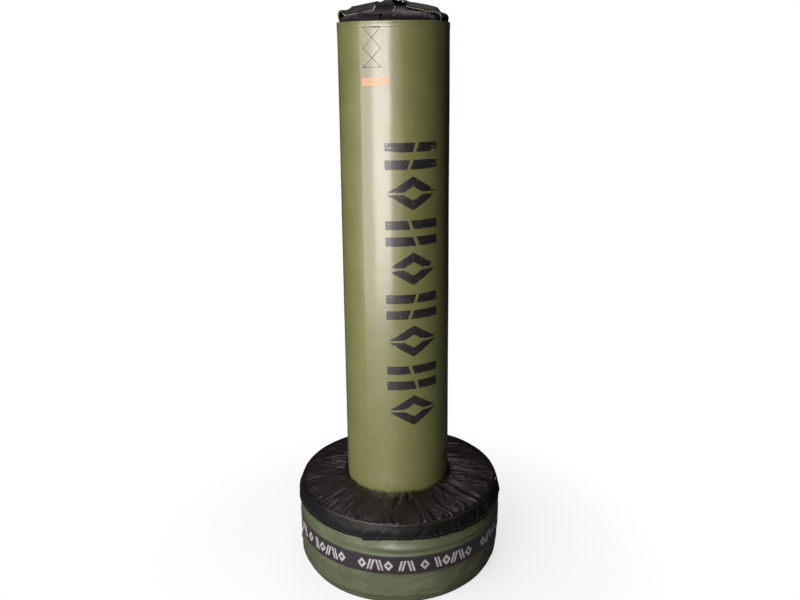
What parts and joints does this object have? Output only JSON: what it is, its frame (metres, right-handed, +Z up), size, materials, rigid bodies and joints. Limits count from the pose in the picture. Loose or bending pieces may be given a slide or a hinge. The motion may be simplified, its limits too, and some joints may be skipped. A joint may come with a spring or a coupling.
{
  "type": "free standing bag",
  "caption": "Round padded striking trunk that slips over a steel post and stands in a weighted tyre base under a fabric cover, with hanging straps folded over its top.",
  "frame": {"origin": "middle of the underside, on the floor", "axes": "+Z up along the post; the front of the bag faces -Y"},
  "size_m": [0.6703, 0.6704, 1.8031],
  "materials": {
    "olive_vinyl": "matt coated fabric, fine leather grain",
    "black_vinyl": "semi-gloss coated fabric, leather grain",
    "black_nylon": "plain-woven nylon cloth",
    "black_webbing": "ribbed webbing",
    "woven_tape": "woven tape with a grey pattern",
    "elastic_cord": "braided elastic",
    "foam": "open-cell foam",
    "textile_filling": "pressed textile shred",
    "tyre": "road tyre rubber",
    "concrete": "cast concrete",
    "painted_steel": "powder coated, satin",
    "zinc_steel": "zinc plated",
    "grey_pvc": "extruded pipe",
    "white_plastic": "turned polyethylene",
    "black_plastic": "moulded, matt",
    "plywood": "unfinished plywood"
  },
  "bodies": {
    "base": {"cover_bottom": "black_vinyl", "cover_wall": "olive_vinyl", "cover_skirt": "black_vinyl", "cover_top": "black_vinyl", "cover_piping": "black_vinyl", "cover_tape": "woven_tape", "collar_elastic": "elastic_cord", "collar_foam": "foam", "side_foam": "foam", "tyre": "tyre", "ballast": "concrete", "lower_plate": "painted_steel", "upper_plate": "painted_steel", "tie_bolts": "zinc_steel", "tie_washers": "zinc_steel", "tie_nuts": "zinc_steel", "post_flange": "painted_steel", "post_bolts": "zinc_steel", "post_nuts": "zinc_steel", "post": "painted_steel", "post_cap": "black_plastic"},
    "turntable": {"thrust_disc": "white_plastic"},
    "trunk": {"trunk_bottom_panel": "black_vinyl", "trunk_board": "plywood", "core_flange": "grey_pvc", "flange_screws": "zinc_steel", "core_tube": "grey_pvc", "lower_bush": "white_plastic", "upper_bush": "white_plastic", "core_cap": "black_plastic", "trunk_filling": "textile_filling", "trunk_lining": "foam", "trunk_shell": "olive_vinyl", "top_pad": "foam", "top_closure": "black_nylon", "strap_anchors": "black_webbing"},
    "front_left_strap": {"strap_front_left": "black_webbing"},
    "front_right_strap": {"strap_front_right": "black_webbing"},
    "back_right_strap": {"strap_back_right": "black_webbing"},
    "back_left_strap": {"strap_back_left": "black_webbing"}
  },
  "joints": [
    {"name": "trunk_spin", "type": "hinge", "parent": "base", "child": "turntable", "pos_m": [0, 0, 0.1895], "axis": [0, 0, 1], "continuous": true},
    {"name": "trunk_lift", "type": "slide", "parent": "turntable", "child": "trunk", "axis": [0, 0, 1], "range_m": [0, 1.06]},
    {"name": "front_left_strap_swing", "type": "hinge", "parent": "trunk", "child": "front_left_strap", "pos_m": [-0.06634, -0.149, 1.744], "axis": [0.9135, -0.4067, 0], "range_deg": [0, 85]},
    {"name": "front_right_strap_swing", "type": "hinge", "parent": "trunk", "child": "front_right_strap", "pos_m": [0.149, -0.06634, 1.744], "axis": [0.4067, 0.9135, 0], "range_deg": [0, 85]},
    {"name": "back_right_strap_swing", "type": "hinge", "parent": "trunk", "child": "back_right_strap", "pos_m": [0.06634, 0.149, 1.744], "axis": [-0.9135, 0.4067, 0], "range_deg": [0, 85]},
    {"name": "back_left_strap_swing", "type": "hinge", "parent": "trunk", "child": "back_left_strap", "pos_m": [-0.149, 0.06634, 1.744], "axis": [-0.4067, -0.9135, 0], "range_deg": [0, 85]}
  ]
}
